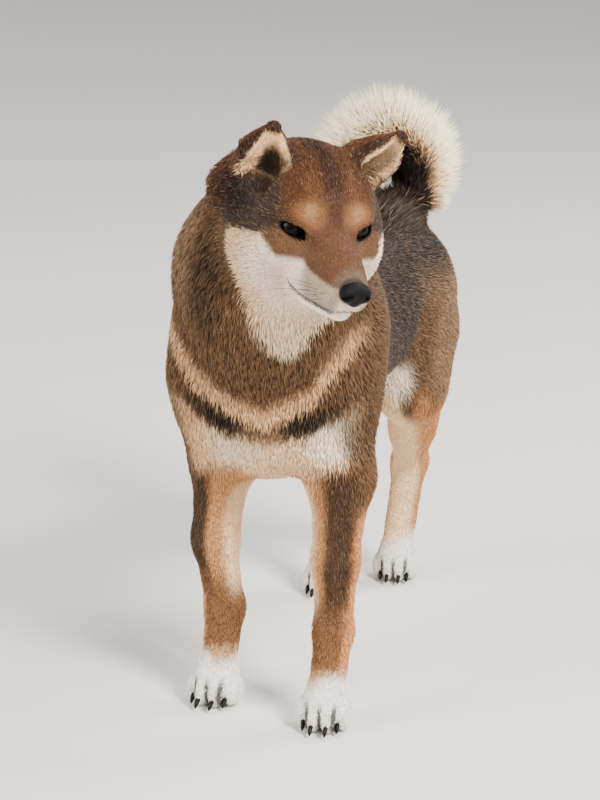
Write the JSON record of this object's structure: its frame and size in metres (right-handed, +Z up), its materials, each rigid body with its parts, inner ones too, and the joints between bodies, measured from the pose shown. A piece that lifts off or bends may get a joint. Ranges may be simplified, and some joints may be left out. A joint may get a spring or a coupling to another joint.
{
  "type": "shiba inu",
  "caption": "Life-size still model of a standing sesame shiba inu, head turned to its left, small thick ears out to the sides, tail curled over the back.",
  "frame": {"origin": "middle of the bounding box's underside, on the floor between the paws", "axes": "+Z up, the dog faces -Y, +X to the dog's left"},
  "size_m": [0.2208, 0.5782, 0.5087],
  "materials": {
    "coat": "dense sesame fur, black-tipped over tan and cream",
    "tail_hair": "long cream hair over dark brown",
    "nose_leather": "moist pebbled black skin",
    "eye_dark": "glossy dark brown",
    "claw_horn": "smooth dark horn"
  },
  "bodies": {
    "root": {"claw_fore_left_1": "claw_horn", "claw_fore_left_2": "claw_horn", "claw_fore_left_3": "claw_horn", "claw_fore_left_4": "claw_horn", "claw_fore_right_1": "claw_horn", "claw_fore_right_2": "claw_horn", "claw_fore_right_3": "claw_horn", "claw_fore_right_4": "claw_horn", "claw_hind_left_1": "claw_horn", "claw_hind_left_2": "claw_horn", "claw_hind_left_3": "claw_horn", "claw_hind_left_4": "claw_horn", "claw_hind_right_1": "claw_horn", "claw_hind_right_2": "claw_horn", "claw_hind_right_3": "claw_horn", "claw_hind_right_4": "claw_horn", "ear_left": "coat", "ear_right": "coat", "eye_left": "eye_dark", "eye_right": "eye_dark", "fore_leg_left": "coat", "fore_leg_right": "coat", "head": "coat", "hind_pastern_left": "coat", "hind_pastern_right": "coat", "hind_shank_left": "coat", "hind_shank_right": "coat", "hind_thigh_left": "coat", "hind_thigh_right": "coat", "hips": "coat", "neck": "coat", "nose": "nose_leather", "paw_fore_left": "coat", "paw_fore_right": "coat", "paw_hind_left": "coat", "paw_hind_right": "coat", "tail_base": "tail_hair", "tail_middle": "tail_hair", "tail_tip": "tail_hair", "torso": "coat"}
  },
  "joints": []
}
